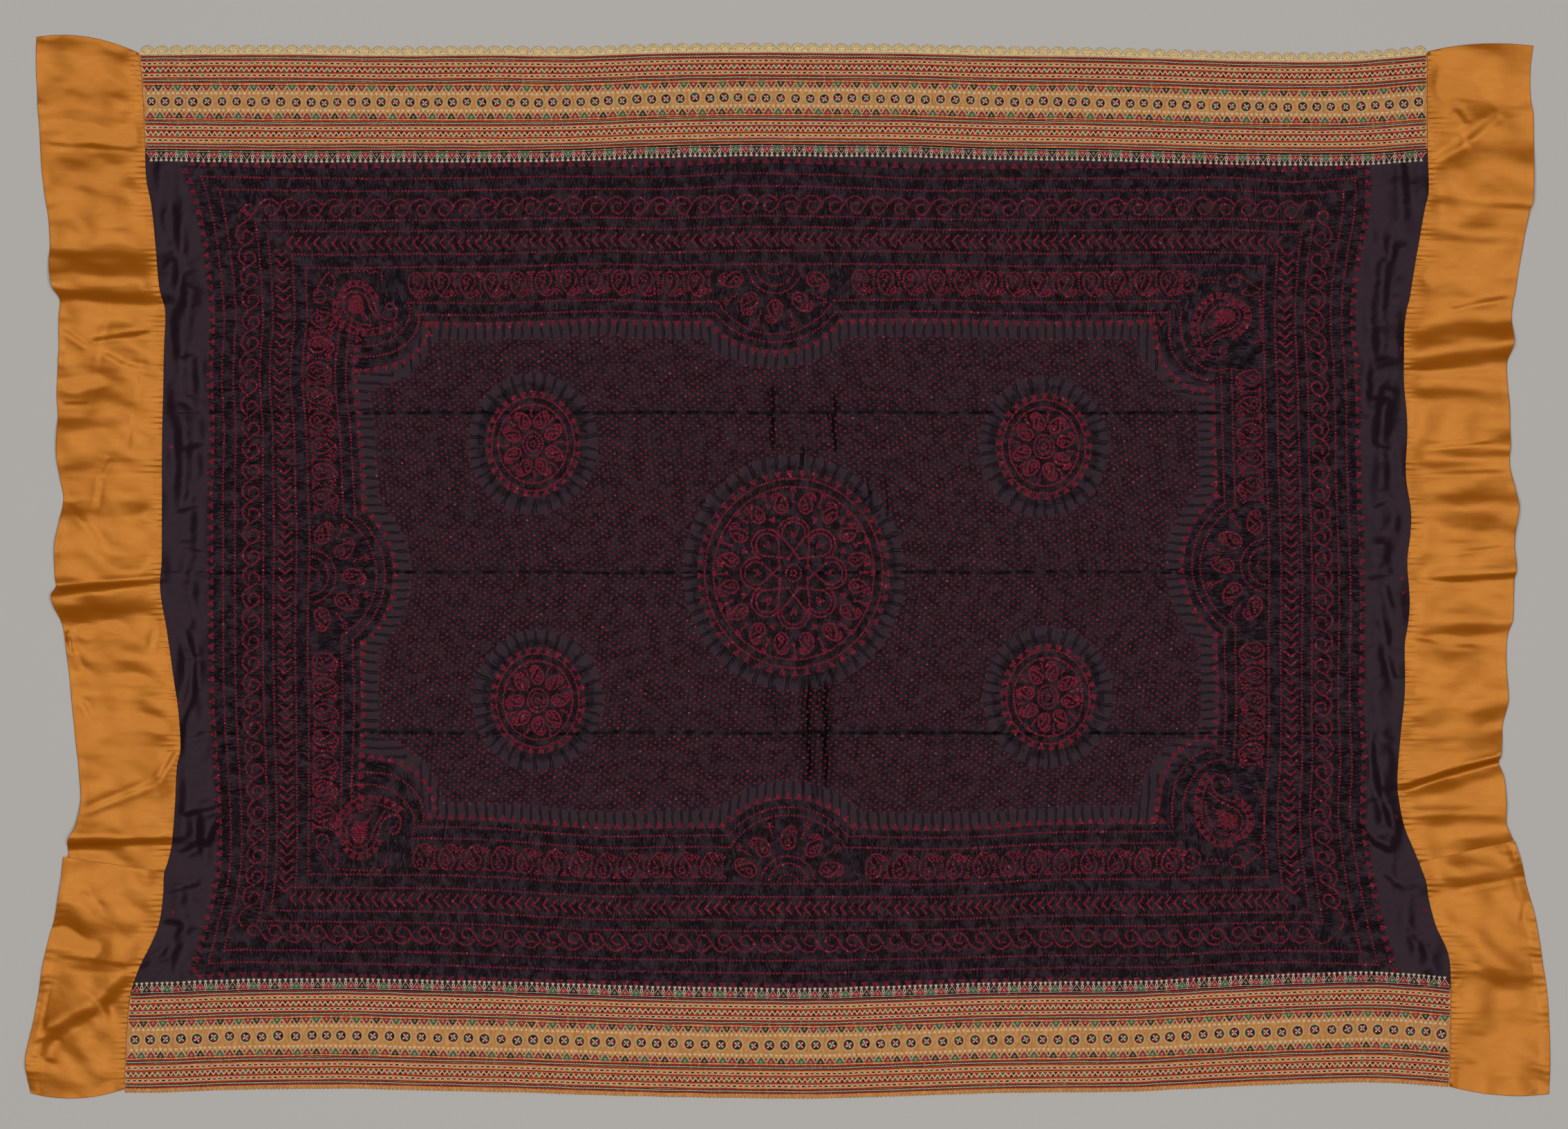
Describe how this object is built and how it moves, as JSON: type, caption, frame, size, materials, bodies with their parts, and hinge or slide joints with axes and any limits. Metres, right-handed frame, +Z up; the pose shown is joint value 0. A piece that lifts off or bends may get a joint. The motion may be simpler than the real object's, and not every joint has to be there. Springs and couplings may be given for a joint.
{
  "type": "bandhani veil",
  "caption": "Rectangular tie-dyed silk veil lying flat: dark dotted centre, embroidered long-edge bands, rippled orange satin ends and a scalloped metallic lace.",
  "frame": {"origin": "on the surface it lies on, under the middle of the veil's outline", "axes": "+X along the length, +Y across towards the lace-trimmed long edge, +Z up from the surface"},
  "size_m": [1.8802, 1.312, 0.017],
  "materials": {
    "dark_silk": "thin aubergine-black silk, crinkled by tying, low sheen",
    "band_silk": "tan-orange silk under dense chain and herringbone stitch",
    "satin": "orange-gold satin with a strong soft sheen",
    "metal_lace": "pale gold metal thread lace, slightly tarnished"
  },
  "bodies": {
    "root": {"field": "dark_silk", "border_top": "band_silk", "border_bottom": "band_silk", "satin_left_upper": "satin", "satin_left_lower": "satin", "satin_right_upper": "satin", "satin_right_lower": "satin", "lace_top": "metal_lace"}
  },
  "joints": []
}
